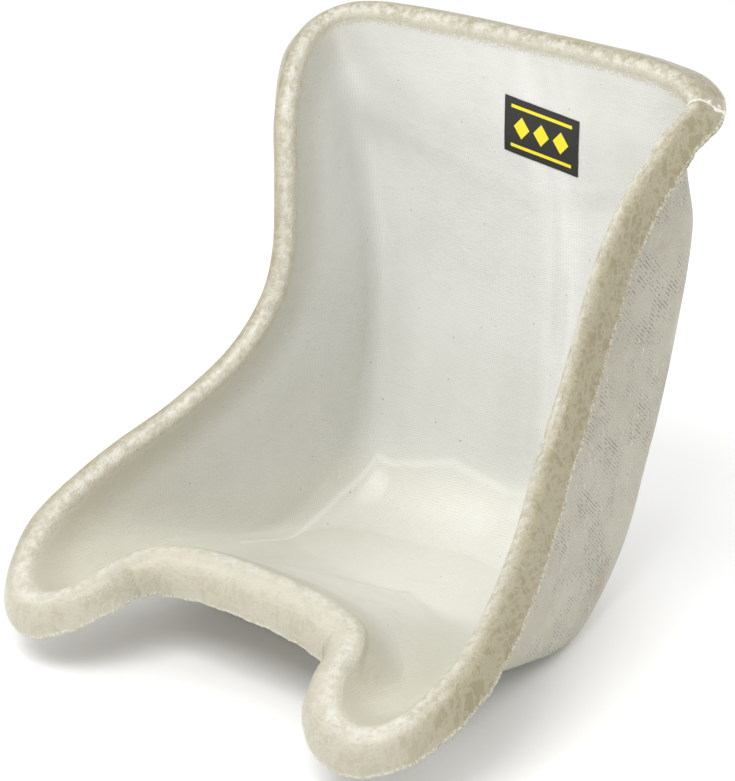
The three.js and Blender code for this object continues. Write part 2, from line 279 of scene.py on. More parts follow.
def check_piece(name, points, quads, replaced):
    """Stops a piece that is inside out, by six times its volume as the sum over its quads of the
    triple products, or that reaches past the solids it stands for."""
    a, b, c, d = (points[quads[:, k]] for k in range(4))
    volume = np.sum(np.cross(b - a, c - a) * a) + np.sum(np.cross(c - a, d - a) * a)
    if volume <= 0:
        raise RuntimeError(f"{name} is inside out")
    low, high = (np.array([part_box(node)[k] for node in replaced]) for k in (0, 1))
    stray = np.concatenate([low.min(axis=0) - points.min(axis=0), points.max(axis=0) - high.max(axis=0)]).max()
    if stray > MOST_STRAY:
        raise RuntimeError(f"{name} reaches {stray / MM:.1f} mm outside the solids it stands for")


def new_piece(name, grid, values, wrap_columns, wrap_rows, material, replaced):
    """A smooth closed mesh from a grid of points in millimetres, columns first. Points that coincide
    become one, cells flattened by that become triangles, and each entry of values becomes a float
    attribute."""
    cells = grid_cells(*grid.shape[:2], wrap_columns, wrap_rows)
    keys = np.round(grid.reshape(-1, 3) * 1000).astype(np.int64)
    _, first, index = np.unique(keys, axis=0, return_index=True, return_inverse=True)
    points = grid.reshape(-1, 3)[first] * MM
    cells = index.reshape(-1)[cells]
    same = cells == np.roll(cells, -1, axis=1)
    quads = cells[~same.any(axis=1)]
    folded = same.sum(axis=1) == 1
    triangles = cells[folded][~same[folded]].reshape(-1, 3)
    sizes = np.repeat([4, 3], [len(quads), len(triangles)])

    mesh = bpy.data.meshes.new(name)
    mesh.vertices.add(len(points))
    mesh.vertices.foreach_set("co", points.reshape(-1))
    mesh.loops.add(sizes.sum())
    used = np.concatenate([quads.reshape(-1), triangles.reshape(-1)])
    mesh.loops.foreach_set("vertex_index", used.astype(np.int32))
    mesh.polygons.add(len(sizes))
    mesh.polygons.foreach_set("loop_start", (np.cumsum(sizes) - sizes).astype(np.int32))
    mesh.update(calc_edges=True)
    mesh.polygons.foreach_set("use_smooth", np.ones(len(sizes), dtype=bool))
    for key, value in values.items():
        data = mesh.attributes.new(key, "FLOAT", "POINT").data
        data.foreach_set("value", value.reshape(-1)[first].astype(np.float32))
    if mesh.validate():
        raise RuntimeError(f"{name} has a bad face")
    check_piece(name, points, quads, replaced)
    mesh.set_sharp_from_angle(angle=SHARP)
    mesh.materials.append(material)
    piece = bpy.data.objects.new(name, mesh)
    bpy.context.scene.collection.objects.link(piece)
    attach(piece, "root")
    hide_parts(*replaced)
    return piece


def skin(name, ply, columns, rows, height, material, replaced):
    """A ply over the whole seat: its near face from the spine to the edge, and its far face back."""
    near, far = ply
    places = np.arange(columns) * PLACES / columns
    place, row = np.meshgrid(places, np.linspace(0, ROWS, rows + 1), indexing="ij")
    p, n = shell_frame(place, row)
    edge = path_length(p[:, ::-1])[:, ::-1]
    p = p + n * (waviness(p, height) * smooth(row, 0, 0.5))[..., None]
    values = {"edge": edge, "crease": crease_distance(p), "side": halves(place)[0]}
    values = {key: np.concatenate([v, v[:, ::-1]], axis=1) for key, v in values.items()}
    grid = np.concatenate([p - n * near, (p - n * far)[:, ::-1]], axis=1)
    return new_piece(name, grid, values, True, False, material, replaced)


def folded_end(section):
    """A section folded on to its own middle line, which closes the end of a band."""
    return (section + section[::-1]) / 2


def band(name, p, n, thickness, tip, values, material):
    """A strip with a near face p, rounded along its last row in the direction tip, and a far face
    that lies thickness behind it. Both ends are folded shut."""
    turn = np.linspace(0, np.pi, TIP_STEPS + 1)[1:-1, None]
    centre = p[:, -1:] - n[:, -1:] * thickness / 2
    rounded = centre + thickness / 2 * (n[:, -1:] * np.cos(turn) + tip[:, None] * np.sin(turn))
    grid = np.concatenate([p, rounded, (p - n * thickness)[:, ::-1]], axis=1)
    grid = np.concatenate([folded_end(grid[0])[None], grid, folded_end(grid[-1])[None]])
    wide = {}
    for key, v in values.items():
        v = np.concatenate([v, np.repeat(v[:, -1:], len(turn), axis=1), v[:, ::-1]], axis=1)
        wide[key] = np.concatenate([v[:1], v, v[-1:]])
    return new_piece(name, grid, wide, False, True, material, [name])


def rim_band(name, first, last, columns, wander, height, material):
    """A stretch of the rolled rim, with its start butted against the shell and its free edge ragged."""
    places = np.linspace(first, last, int(round((last - first) * columns / PLACES)) + 1)
    rows = np.concatenate([np.linspace(0, BEND, ARC_ROWS), np.linspace(BEND, RIM_ROWS, SKIRT_ROWS)[1:]])
    place, row = np.meshgrid(places, rows, indexing="ij")
    p, n = rim_frame(place, row)
    edge = -path_length(p)
    tip = unit(p[:, -1] - p[:, -2])
    stray = raggedness(place, wander) * smooth(row, BEND, RIM_ROWS)
    p = p + tip[:, None] * stray[..., None] + n * waviness(p, height)[..., None]
    free = path_length(p[:, ::-1])[:, ::-1]
    values = {"edge": edge, "free": free, "place": np.mod(place, PLACES), "side": halves(place)[0]}
    return band(name, p, n, LAMINATE, tip, values, material)


def label_film(width, tall, tilt, height, material):
    """The label, on a seventh-degree polynomial y(x, z) fitted to the upper back by least squares. Its
    slopes along x and z, by differences over 2 mm, give the normals."""
    place, row = np.meshgrid(np.linspace(-12, 12, 193), np.linspace(0, ROWS, 65), indexing="ij")
    p, _ = shell_frame(place, row)
    beside, above = np.abs(p[..., 0] - LABEL_SIDE), np.abs(p[..., 2] - LABEL_UP)
    p = p[(beside < 0.7 * width) & (above < 0.75 * tall)]
    powers = [(i, j) for i in range(8) for j in range(8 - i)]

    def terms(x, z):
        s, t = (x - LABEL_SIDE) / width, (z - LABEL_UP) / tall
        return np.stack([s**i * t**j for i, j in powers], axis=-1)

    weights, *_ = np.linalg.lstsq(terms(p[:, 0], p[:, 2]), p[:, 1], rcond=None)
    if np.abs(terms(p[:, 0], p[:, 2]) @ weights - p[:, 1]).max() > MOST_MISFIT:
        raise RuntimeError("the label doesn't follow the back")
    columns, rows = np.linspace(-width / 2, width / 2, 77), np.linspace(-tall / 2, tall / 2, 55)
    u, v = np.meshgrid(columns, rows, indexing="ij")
    x = LABEL_SIDE + u * math.cos(tilt) + v * math.sin(tilt)
    z = LABEL_UP - u * math.sin(tilt) + v * math.cos(tilt)
    y = terms(x, z) @ weights
    slope_x = (terms(x + 1, z) - terms(x - 1, z)) @ weights / 2
    slope_z = (terms(x, z + 1) - terms(x, z - 1)) @ weights / 2
    n = unit(np.stack([slope_x, -np.ones_like(x), slope_z], axis=-1))
    p = np.stack([x, y, z], axis=-1)
    p = p + n * (LABEL_LIFT + LABEL_THICKNESS + waviness(p, height))[..., None]
    tip = unit(p[:, -1] - p[:, -2])
    return band("label", p, n, LABEL_THICKNESS, tip, {"u": u, "v": v}, material)


# ---- Shader nodes ----

def add(tree, kind, inputs=(), **settings):
    """A node with its settings made and its inputs filled: a socket is linked, a value is set. Nodes
    stand in rows of twelve."""
    made = tree.nodes.new(kind)
    down, along = divmod(len(tree.nodes), 12)
    made.location = (200 * along, -260 * down)
    for key, value in settings.items():
        setattr(made, key, value)
    for key, value in dict(inputs).items():
        if isinstance(value, bpy.types.NodeSocket):
            tree.links.new(value, made.inputs[key])
        else:
            made.inputs[key].default_value = value
    return made


def calc(tree, operation, *values):
    """The result of one Math node."""
    return add(tree, "ShaderNodeMath", dict(enumerate(values)), operation=operation).outputs[0]


def ramp(tree, value, low, high):
    """0 to 1 as value goes smoothly from low to high; low may be the larger."""
    inputs = {0: value, 1: low, 2: high, 3: 0.0, 4: 1.0}
    if low > high:
        inputs = {0: value, 1: high, 2: low, 3: 1.0, 4: 0.0}
    return add(tree, "ShaderNodeMapRange", inputs, interpolation_type="SMOOTHSTEP").outputs[0]


def mix(tree, share, a, b):
    """The colour between a and b."""
    return add(tree, "ShaderNodeMix", {0: share, 6: a, 7: b}, data_type="RGBA").outputs[2]


def times(tree, a, b):
    """The product of two values."""
    return calc(tree, "MULTIPLY", a, b)


def lay(tree, colour, over, mask, amount):
    """A colour with another laid over it where the mask is, as far as the amount goes."""
    return mix(tree, times(tree, mask, amount), colour, over)


def distance_to(tree, value, middle):
    """How far a value is from a middle one."""
    return calc(tree, "ABSOLUTE", calc(tree, "SUBTRACT", value, middle))


def noise(tree, vector, scale, detail=3.0, roughness=0.55):
    """A noise texture's value."""
    inputs = {"Vector": vector, "Scale": scale, "Detail": detail, "Roughness": roughness}
    return add(tree, "ShaderNodeTexNoise", inputs).outputs[0]


def stretch(tree, vector, by):
    """The vector multiplied by a constant, part by part."""
    return add(tree, "ShaderNodeVectorMath", {0: vector, 1: by}, operation="MULTIPLY").outputs[0]


def value_of(tree, name):
    """One of the piece's float attributes."""
    return add(tree, "ShaderNodeAttribute", attribute_name=name).outputs["Fac"]


def node_group(name, inputs, outputs):
    """An empty shader node group with vector inputs where there is no default, float inputs and float
    outputs, and its input node's sockets."""
    tree = bpy.data.node_groups.new(name, "ShaderNodeTree")
    for socket, default in inputs.items():
        kind = "NodeSocketVector" if default is None else "NodeSocketFloat"
        made = tree.interface.new_socket(socket, in_out="INPUT", socket_type=kind)
        if default is not None:
            made.default_value = default
    for socket in outputs:
        tree.interface.new_socket(socket, in_out="OUTPUT", socket_type="NodeSocketFloat")
    return tree, add(tree, "NodeGroupInput").outputs


def weave_group():
    """Woven cloth on the three planes, each by the share of the surface that faces it: plain weave as
    the product of two sines set at 45 degrees."""
    tree, given = node_group("weave", {"Vector": None, "Normal": None, "Pitch": 0.003}, ["Height", "Threads"])
    place = add(tree, "ShaderNodeSeparateXYZ", {0: given["Vector"]}).outputs
    facing = add(tree, "ShaderNodeSeparateXYZ", {0: given["Normal"]}).outputs
    pace = calc(tree, "DIVIDE", math.pi * math.sqrt(2), given["Pitch"])
    height, threads, shares = 0.0, 0.0, 0.0
    for towards, a, b in ((0, 1, 2), (1, 0, 2), (2, 0, 1)):
        share = calc(tree, "POWER", calc(tree, "ABSOLUTE", facing[towards]), 6.0)
        rising = calc(tree, "SINE", times(tree, calc(tree, "ADD", place[a], place[b]), pace))
        falling = calc(tree, "SINE", times(tree, calc(tree, "SUBTRACT", place[a], place[b]), pace))
        height = calc(tree, "MULTIPLY_ADD", times(tree, rising, falling), share, height)
        threads = calc(tree, "MULTIPLY_ADD", rising, share, threads)
        shares = calc(tree, "ADD", share, shares)
    outputs = {"Height": calc(tree, "DIVIDE", height, shares), "Threads": calc(tree, "DIVIDE", threads, shares)}
    outputs = {key: calc(tree, "MULTIPLY_ADD", value, 0.5, 0.5) for key, value in outputs.items()}
    add(tree, "NodeGroupOutput", outputs)
    return tree


def resin_group():
    """Resin that cured unevenly: clouds, upright streaks where resin ran down the wall that also serve as
    painted soft upright highlights, and tiny pits and specks of dirt.
    """
    tree, given = node_group("resin", {"Vector": None, "Size": 0.06}, ["Clouds", "Runs", "Pits"])
    vector, scale = given["Vector"], calc(tree, "DIVIDE", 1.0, given["Size"])
    clouds = ramp(tree, noise(tree, vector, scale, 4.0, 0.6), 0.3, 0.7)
    drawn_out = stretch(tree, vector, (1.0, 1.0, 0.12))
    # Upright streaks: resin that ran down the wall, and painted soft upright highlights.
    runs_and_sheen = ramp(tree, noise(tree, drawn_out, times(tree, scale, 1.6), 2.0), 0.35, 0.65)
    cells = add(tree, "ShaderNodeTexVoronoi", {"Vector": vector, "Scale": times(tree, scale, 7.0)})
    spots = ramp(tree, cells.outputs["Distance"], 0.13, 0.07)
    sparse = ramp(tree, noise(tree, vector, times(tree, scale, 3.0)), 0.55, 0.63)
    add(tree, "NodeGroupOutput", {"Clouds": clouds, "Runs": runs_and_sheen, "Pits": times(tree, spots, sparse)})
    return tree


def fibre_group():
    """Chopped strands that lie every way: the narrow ridges of three noises, each stretched along its
    own direction."""
    tree, given = node_group("fibres", {"Vector": None, "Size": 0.01}, ["Fibres", "Grain"])
    scale = calc(tree, "DIVIDE", 1.0, given["Size"])
    strands = 0.0
    for turned in ((1.0, 0.2, 0.6), (0.2, 1.0, 0.5), (0.6, 0.5, 0.15)):
        ridge = distance_to(tree, noise(tree, stretch(tree, given["Vector"], turned), scale, 3.0, 0.6), 0.5)
        strands = calc(tree, "MAXIMUM", strands, ramp(tree, ridge, 0.06, 0.0))
    grain = ramp(tree, noise(tree, given["Vector"], times(tree, scale, 6.0), 2.0, 0.6), 0.35, 0.7)
    add(tree, "NodeGroupOutput", {"Fibres": strands, "Grain": grain})
    return tree


GROUPS = {"weave": weave_group, "resin": resin_group, "fibres": fibre_group}


def use(tree, name, **inputs):
    """The outputs of a node group in a material. The group is made when it is first used."""
    group = bpy.data.node_groups.get(name) or GROUPS[name]()
    made = tree.nodes.new("ShaderNodeGroup")
    made.node_tree = group
    for key, value in inputs.items():
        if isinstance(value, bpy.types.NodeSocket):
            tree.links.new(value, made.inputs[key])
        else:
            made.inputs[key].default_value = value
    return made.outputs


def new_material(name):
    """An empty material's node tree, Object coordinates and normal, and the material."""
    material = bpy.data.materials.new(name)
    material.use_nodes = True
    tree = material.node_tree
    tree.nodes.clear()
    coordinates = add(tree, "ShaderNodeTexCoord").outputs
    return material, tree, coordinates["Object"], coordinates["Normal"]


def finish_material(tree, colour, roughness, height, depth, coat=0.0):
    """The Principled BSDF, a bump of the given depth in metres and the output."""
    bump = add(tree, "ShaderNodeBump", {"Height": height, "Distance": depth, "Strength": 1.0}).outputs[0]
    inputs = {"Base Color": colour, "Roughness": roughness, "Normal": bump, "IOR": 1.5,
              "Coat Weight": coat, "Coat Roughness": 0.12}
    surface = add(tree, "ShaderNodeBsdfPrincipled", inputs).outputs[0]
    add(tree, "ShaderNodeOutputMaterial", {"Surface": surface})


# ---- Materials ----

CLOUDY_CLOTH = (0.63, 0.63, 0.59, 1.0)
# Pale upright streaks: resin that ran down the wall, and painted soft upright highlights.
PALE_RUN_AND_SHEEN = (0.74, 0.74, 0.71, 1.0)
FLOOR_TINT = (0.66, 0.65, 0.54, 1.0)
# Painted highlight on the middle of the floor.
FLOOR_PAINTED_HIGHLIGHT = (0.88, 0.88, 0.82, 1.0)
# Painted highlight beside the middle of the back.
GLEAM = (0.92, 0.92, 0.90, 1.0)
HORN_TINT = (0.64, 0.60, 0.42, 1.0)
# Painted shade near the rims and low on the walls.
PAINTED_SHADE = (0.34, 0.31, 0.21, 1.0)
# Painted highlight along the crease.
CREASE_HIGHLIGHT = (0.86, 0.86, 0.80, 1.0)
BETWEEN_THREADS = (0.40, 0.39, 0.33, 1.0)
PIT_INSIDE = (0.24, 0.20, 0.13, 1.0)
CLOUDY_OUTSIDE = (0.38, 0.36, 0.29, 1.0)
DARK_THREAD = (0.13, 0.12, 0.10, 1.0)
BROWN_STAIN = (0.36, 0.25, 0.19, 1.0)
SCRATCH = (0.78, 0.77, 0.73, 1.0)
PIT_OUTSIDE = (0.16, 0.12, 0.08, 1.0)
CLOUDY_RESIN = (0.44, 0.41, 0.30, 1.0)
PALE_STRAND = (0.70, 0.68, 0.58, 1.0)
# Painted highlight along the top of the roll.
ROUGH_BROW_HIGHLIGHT = (0.78, 0.77, 0.70, 1.0)
# Painted highlight along the free edge.
FREE_EDGE_HIGHLIGHT = (0.72, 0.69, 0.58, 1.0)
CLOSED_SEAM = (0.86, 0.85, 0.80, 1.0)
PIT_RIM = (0.20, 0.15, 0.08, 1.0)
CORE_STRAND = (0.78, 0.76, 0.66, 1.0)


def inside_floor(tree, colour, place, runs_and_sheen):
    """The colour with a greener floor, a painted highlight that makes the floor brightest in its middle, a soft
    upright painted highlight (the gleam) beside the middle of the back, and a yellower tint towards the horns."""
    aside = calc(tree, "ABSOLUTE", place[0])
    low = ramp(tree, place[2], 0.075, 0.035)
    colour = lay(tree, colour, FLOOR_TINT, low, 0.55)
    # Painted highlight: the middle of the floor is made paler, as if lit there.
    colour = lay(tree, colour, FLOOR_PAINTED_HIGHLIGHT, times(tree, low, ramp(tree, aside, 0.14, 0.02)), 0.5)
    # Painted highlight: a soft upright gleam beside the middle of the back, broken into upright streaks.
    gleam = ramp(tree, distance_to(tree, place[0], 0.035), 0.035, 0.008)
    gleam = times(tree, gleam, times(tree, ramp(tree, place[1], 0.05, 0.1), runs_and_sheen))
    colour = lay(tree, colour, GLEAM, gleam, 0.45)
    return lay(tree, colour, HORN_TINT, ramp(tree, place[1], -0.02, -0.26), 0.4)


def inside_edge(tree, colour, place, grain, resin_colour):
    """The colour, with painted shade that makes it darker and browner towards the sides' rims and low on the
    walls, and the rim's own at the edge.
    """
    edge = calc(tree, "MULTIPLY_ADD", grain, 6.0, value_of(tree, "edge"))
    side = ramp(tree, value_of(tree, "side"), 4.0, 8.0)
    # Painted shade: darker and browner within about 60 mm of the rim, weaker at the middle of the top.
    shade = times(tree, ramp(tree, edge, 60.0, 8.0), calc(tree, "MULTIPLY_ADD", side, 0.36, 0.1))
    # Painted shade low on the walls, away from the middle of the seat.
    hollow_shade = times(tree, ramp(tree, place[2], 0.28, 0.12), ramp(tree, place[2], 0.03, 0.09))
    hollow_shade = times(tree, hollow_shade, ramp(tree, calc(tree, "ABSOLUTE", place[0]), 0.12, 0.16))
    colour = mix(tree, calc(tree, "MULTIPLY_ADD", hollow_shade, 0.16, shade), colour, PAINTED_SHADE)
    return mix(tree, ramp(tree, edge, 9.0, 3.0), colour, (*resin_colour, 1.0))


def inside_material(s):
    """Glossy gelled cloth: pale grey, greener on the floor, darker, browner and rougher towards the rim where
    painted shade lies on it, with a painted highlight as a thin bright line where the floor meets the walls."""
    material, tree, vector, normal = new_material("inside_cloth")
    cloth = use(tree, "weave", Vector=vector, Normal=normal, Pitch=s.weave_pitch)
    cured = use(tree, "resin", Vector=vector, Size=0.06)
    strands = use(tree, "fibres", Vector=vector, Size=0.012)
    place = add(tree, "ShaderNodeSeparateXYZ", {0: vector}).outputs
    colour = lay(tree, (*s.cloth_colour, 1.0), CLOUDY_CLOTH, cured["Clouds"], 0.45)
    # Pale upright streaks: resin that ran down the wall, and painted soft upright highlights.
    colour = lay(tree, colour, PALE_RUN_AND_SHEEN, cured["Runs"], 0.25)
    colour = inside_floor(tree, colour, place, cured["Runs"])
    colour = inside_edge(tree, colour, place, strands["Grain"], s.resin_colour)
    # Painted highlight: a thin bright line where the floor meets the back and the walls, below about 85 mm.
    line = times(tree, ramp(tree, value_of(tree, "crease"), 2.6, 0.4), ramp(tree, place[2], 0.085, 0.06))
    colour = lay(tree, colour, CREASE_HIGHLIGHT, line, 0.5)
    woven = calc(tree, "MULTIPLY_ADD", calc(tree, "SUBTRACT", cloth["Height"], 0.5), 0.3, 0.1)
    colour = mix(tree, woven, colour, BETWEEN_THREADS)
    colour = lay(tree, colour, PIT_INSIDE, cured["Pits"], 0.6)
    roughness = calc(tree, "MULTIPLY_ADD", cured["Clouds"], 0.15, s.inside_roughness)
    height = calc(tree, "MULTIPLY_ADD", cured["Clouds"], 1.6, times(tree, cloth["Height"], 0.35))
    finish_material(tree, colour, roughness, height, 0.0004, 0.25)
    return material


def outside_material(s):
    """Dull dry cloth: the weave shows as broken dark threads, with brown stains and fine scratches."""
    material, tree, vector, normal = new_material("outside_cloth")
    cloth = use(tree, "weave", Vector=vector, Normal=normal, Pitch=s.weave_pitch)
    cured = use(tree, "resin", Vector=vector, Size=0.05)
    colour = lay(tree, (*s.outside_colour, 1.0), CLOUDY_OUTSIDE, cured["Clouds"], 0.5)
    dry = ramp(tree, noise(tree, vector, 28.0, 3.0), 0.42, 0.62)
    broken = ramp(tree, noise(tree, stretch(tree, vector, (1.0, 1.0, 0.5)), 260.0, 2.0), 0.42, 0.58)
    marks = times(tree, ramp(tree, cloth["Threads"], 0.62, 0.95), times(tree, dry, broken))
    colour = lay(tree, colour, DARK_THREAD, marks, 0.75)
    colour = lay(tree, colour, BROWN_STAIN, ramp(tree, noise(tree, vector, 11.0, 5.0, 0.7), 0.6, 0.72), 0.35)
    drawn_out = stretch(tree, vector, (1.0, 9.0, 1.4))
    colour = lay(tree, colour, SCRATCH, ramp(tree, noise(tree, drawn_out, 60.0, 1.0), 0.70, 0.74), 0.5)
    colour = lay(tree, colour, PIT_OUTSIDE, cured["Pits"], 0.7)
    height = calc(tree, "MULTIPLY_ADD", cloth["Height"], 0.8, cured["Clouds"])
    finish_material(tree, colour, 0.62, height, 0.0005)
    return material


def rim_skirt(tree, colour, side, free, grain, skirt_and_shade_colour):
    """The colour, darker on the top and the sides from painted shade, and darkest on the side skirts, which are
    darker resin and carry more painted shade.
    """
    dark, flank_shade = (*skirt_and_shade_colour, 1.0), ramp(tree, side, 31.0, 26.0)
    skirt = ramp(tree, calc(tree, "MULTIPLY_ADD", grain, 5.0, free), 40.0, 22.0)
    # Painted shade on the rim of the top and the sides, away from the front.
    colour = lay(tree, colour, dark, flank_shade, 0.22)
    # The skirt: darker resin, with more painted shade on the top and the sides.
    return lay(tree, colour, dark, skirt, calc(tree, "MULTIPLY_ADD", flank_shade, 0.6, 0.3))


def rim_edges(tree, colour, edge, free, place, rough, grain):
    """The colour, with a painted highlight along the top of the roll, broken up like rough fibres, a painted
    highlight along the trimmed free edge, and a whitish crack where the back's corner was closed."""
    # Painted highlight along the top of the roll, between about 2 and 22 mm from the shell, broken up by rough
    # noise.
    brow_highlight = times(tree, ramp(tree, edge, -2.0, -9.0), ramp(tree, edge, -22.0, -11.0))
    colour = lay(tree, colour, ROUGH_BROW_HIGHLIGHT, times(tree, brow_highlight, rough), 0.4)
    # Painted highlight along the trimmed free edge, within about 2 mm of it, broken by grain.
    trimmed = times(tree, ramp(tree, free, 2.2, 0.3), ramp(tree, grain, 0.1, 0.7))
    colour = lay(tree, colour, FREE_EDGE_HIGHLIGHT, trimmed, 0.55)
    seam = distance_to(tree, place, calc(tree, "MULTIPLY_ADD", rough, 0.16, 6.1))
    return lay(tree, colour, CLOSED_SEAM, ramp(tree, seam, 0.12, 0.02), 0.7)


def rim_material(s):
    """Resin-rich chopped mat: yellowish, with pale strands, darker on the skirt and, from painted shade, on the
    top and the sides, with painted highlights along the top of the roll and along the free edge.
    """
    material, tree, vector, _ = new_material("rim_mat")
    strands = use(tree, "fibres", Vector=vector, Size=0.012)
    cured = use(tree, "resin", Vector=vector, Size=0.03)
    edge, free, place, side = (value_of(tree, name) for name in ("edge", "free", "place", "side"))
    rough = ramp(tree, noise(tree, vector, 130.0, 3.0, 0.7), 0.38, 0.62)
    colour = lay(tree, (*s.resin_colour, 1.0), CLOUDY_RESIN, cured["Clouds"], 0.3)
    colour = rim_skirt(tree, colour, side, free, strands["Grain"], s.skirt_and_shade_colour)
    colour = lay(tree, colour, PALE_STRAND, strands["Fibres"], 0.16)
    colour = rim_edges(tree, colour, edge, free, place, rough, strands["Grain"])
    colour = lay(tree, colour, PIT_RIM, cured["Pits"], 0.8)
    lumps = calc(tree, "ADD", cured["Clouds"], strands["Grain"])
    height = calc(tree, "MULTIPLY_ADD", strands["Fibres"], 0.5, lumps)
    roughness = calc(tree, "MULTIPLY_ADD", strands["Grain"], 0.25, s.rim_roughness)
    finish_material(tree, colour, roughness, height, 0.0003, 0.3)
    return material


def core_material(s):
    """The chopped mat inside the laminate."""
    material, tree, vector, _ = new_material("chopped_mat")
    strands = use(tree, "fibres", Vector=vector, Size=0.012)
    colour = lay(tree, (*s.resin_colour, 1.0), CORE_STRAND, strands["Fibres"], 0.4)
    finish_material(tree, colour, 0.7, strands["Grain"], 0.0004)
    return material


def label_material(s):
    """Black film printed with two yellow bars and three yellow diamonds between them."""
    material, tree, vector, _ = new_material("label_film")
    u, v = value_of(tree, "u"), value_of(tree, "v")
    tall, wide = calc(tree, "ABSOLUTE", v), calc(tree, "ABSOLUTE", u)
    bars = times(tree, calc(tree, "COMPARE", tall, 19.0, 1.6), calc(tree, "LESS_THAN", wide, 31.0))
    step = calc(tree, "ABSOLUTE", calc(tree, "WRAP", u, 10.0, -10.0))
    diamonds = calc(tree, "LESS_THAN", calc(tree, "MULTIPLY_ADD", tall, 0.75, step), 8.0)
    diamonds = times(tree, diamonds, calc(tree, "LESS_THAN", wide, 30.0))
    worn = ramp(tree, noise(tree, vector, 900.0, 2.0), 0.15, 0.35)
    printed = times(tree, calc(tree, "MAXIMUM", bars, diamonds), worn)
    colour = mix(tree, printed, (*s.film_colour, 1.0), (*s.print_colour, 1.0))
    finish_material(tree, colour, 0.38, noise(tree, vector, 160.0, 2.0), 0.0001)
    return material


# ---- Settings ----

def distance(name, description, default):
    """A length in metres."""
    return FloatProperty(name=name, description=description, default=default, subtype="DISTANCE", unit="LENGTH")


def colour(name, description, default):
    """A linear colour."""
    return FloatVectorProperty(
        name=name, description=description, default=default, subtype="COLOR", min=0, max=1)


def power(name, description, default):
    """A light's power in watts."""
    return FloatProperty(name=name, description=description, default=default, unit="POWER", min=0)


class SeatSettings(bpy.types.PropertyGroup):
    """Sizes and colours of the seat."""

    columns: IntProperty(name="Columns", description="Grid columns round the seat", default=736, min=184)
    rows: IntProperty(name="Rows", description="Grid rows from the middle to the rim", default=40, min=16)
    wave_height: distance("Unevenness", "Height of the hand-laid waves", 0.00028)
    edge_wander: distance("Edge wander", "How far the trimmed edge strays", 0.0009)
    weave_pitch: distance("Weave pitch", "Distance between threads", 0.003)
    label_width: distance("Label width", "Width of the label", 0.076)
    label_height: distance("Label height", "Height of the label", 0.054)
    label_tilt: FloatProperty(
        name="Label tilt", description="Lean of the label",
        default=math.radians(8), subtype="ANGLE", unit="ROTATION")
    inside_roughness: FloatProperty(name="Inside roughness", description="Of the inside cloth", default=0.3)
    rim_roughness: FloatProperty(name="Rim roughness", description="Of the rolled rim", default=0.28)
    cloth_colour: colour("Cloth", "Inside of the seat", (0.70, 0.70, 0.675))
    outside_colour: colour("Outside", "Outside of the seat", (0.50, 0.485, 0.40))
    resin_colour: colour("Resin", "Top of the rolled rim", (0.50, 0.475, 0.385))
    # Colour of the down-turned part of the rim, also laid as painted shade on the rim's top and sides.
    skirt_and_shade_colour: colour("Skirt", "Down-turned part of the rim", (0.25, 0.215, 0.12))
    film_colour: colour("Film", "Ground of the label", (0.012, 0.012, 0.012))
    print_colour: colour("Print", "Printed shapes of the label", (0.86, 0.72, 0.02))


class StudioSettings(bpy.types.PropertyGroup):
    """Light, floor and camera of the studio."""

    key_power: power("Key", "Large light above the front", 29.0)
    side_power: power("Side", "Upright strip beside the seat", 7.0)
    back_power: power("Back", "Light behind the back", 6.0)
    sky: FloatProperty(name="Surroundings", description="Strength of the even white light", default=0.9)
    lens: FloatProperty(name="Lens", description="Focal length in millimetres", default=119.85)
    floor_colour: colour("Floor", "Pale floor", (0.95, 0.95, 0.95))


# ---- Studio ----

FLOOR_HALF = 6
AIM = Vector((0, -0.03, 0.22))
LIGHTS = (
    ("key", (0.1, -1.3, 2.0), (1.6, 1.2)),
    ("side", (-1.9, -0.9, 1.1), (0.5, 1.6)),
    ("back", (0.9, 1.6, 1.5), (1.2, 1.0)),
)
CAMERA_TURN = Matrix((
    (0.77344, -0.25313, 0.58112),
    (0.63386, 0.30887, -0.70909),
    (0.0, 0.91679, 0.39934),
))
CAMERA_PLACE = Vector((1.25306, -1.61572, 1.07826))


def studio_floor(colour_value):
    """A pale matte square under the seat."""
    mesh = bpy.data.meshes.new("floor")
    corners = [(-1, -1), (1, -1), (1, 1), (-1, 1)]
    mesh.from_pydata([(FLOOR_HALF * x, FLOOR_HALF * y, 0) for x, y in corners], [], [(0, 1, 2, 3)])
    material = bpy.data.materials.new("floor")
    material.use_nodes = True
    surface = material.node_tree.nodes["Principled BSDF"]
    surface.inputs["Base Color"].default_value = (*colour_value, 1.0)
    surface.inputs["Roughness"].default_value = 0.9
    mesh.materials.append(material)
    ground = bpy.data.objects.new("studio_floor", mesh)
    bpy.context.scene.collection.objects.link(ground)


def studio_world(strength):
    """An even white light from all round."""
    world = bpy.data.worlds.new("studio")
    world.use_nodes = True
    background = world.node_tree.nodes["Background"]
    background.inputs["Color"].default_value = (1, 1, 1, 1)
    background.inputs["Strength"].default_value = strength
    bpy.context.scene.world = world


def studio_light(name, watts, place, size):
    """A rectangular light that faces the seat."""
    light = bpy.data.lights.new(name, "AREA")
    light.shape = "RECTANGLE"
    light.energy = watts
    light.size, light.size_y = size
    lamp = bpy.data.objects.new(name, light)
    lamp.location = place
    lamp.rotation_euler = (AIM - lamp.location).to_track_quat("-Z", "Y").to_euler()
    bpy.context.scene.collection.objects.link(lamp)


def studio_camera(lens):
    """The camera, above the seat and in front of it on the positive side of x."""
    data = bpy.data.cameras.new("camera")
    data.lens = lens
    data.clip_end = 30.0
    camera = bpy.data.objects.new("camera", data)
    camera.matrix_world = Matrix.Translation(CAMERA_PLACE) @ CAMERA_TURN.to_4x4()
    bpy.context.scene.collection.objects.link(camera)
    bpy.context.scene.camera = camera


# ---- Operators ----

